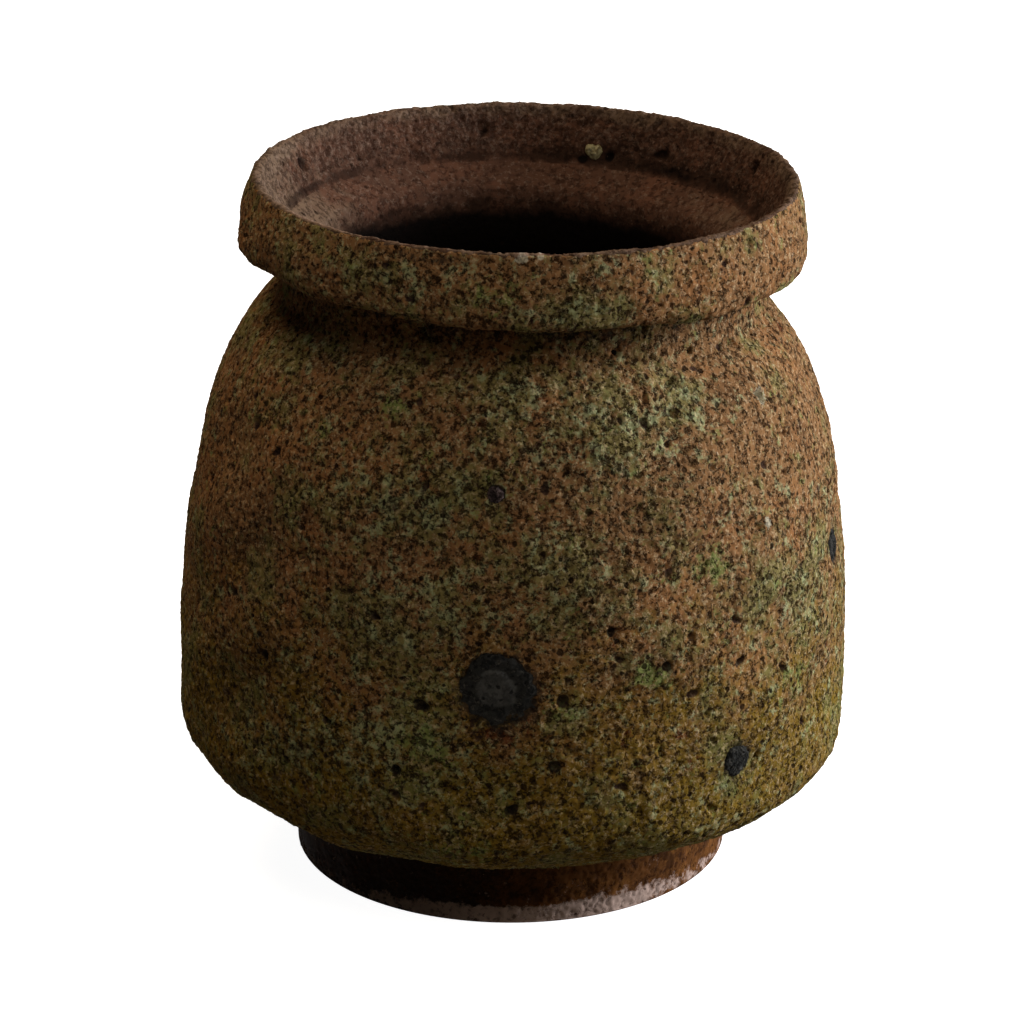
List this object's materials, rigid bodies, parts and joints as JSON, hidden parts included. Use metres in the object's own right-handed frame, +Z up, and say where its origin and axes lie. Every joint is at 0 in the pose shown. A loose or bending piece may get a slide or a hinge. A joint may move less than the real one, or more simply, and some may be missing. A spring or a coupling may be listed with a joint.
{
  "type": "pottery jar",
  "caption": "Wide-bodied unglazed pottery jar with a galleried collar round its open mouth and a low turned foot, under a rough gritty coat; stands free and holds dry goods or water.",
  "frame": {"origin": "on the table, under the middle of the foot ring", "axes": "+Z up through the mouth, -Y towards the side that the picture shows, +X towards the picture's right"},
  "size_m": [0.2005, 0.2006, 0.2104],
  "materials": {
    "bare_clay": "unglazed, smoothed by hand",
    "foot_clay": "unglazed, turned, worn pale at the base edge",
    "grit_coat": "rough, pitted, stained with lichen",
    "slag": "dull, cracked",
    "lime": "chalky"
  },
  "bodies": {
    "root": {"foot_ring": "foot_clay", "base_slab": "bare_clay", "lower_wall": "bare_clay", "upper_wall": "bare_clay", "neck_ring": "bare_clay", "rim_collar": "bare_clay", "body_coat": "grit_coat", "rim_coat": "grit_coat", "slag_stone_large": "slag", "slag_stone_small": "slag", "slag_stone_edge": "slag", "slag_stone_middle": "slag", "lime_chip": "lime"}
  },
  "joints": []
}
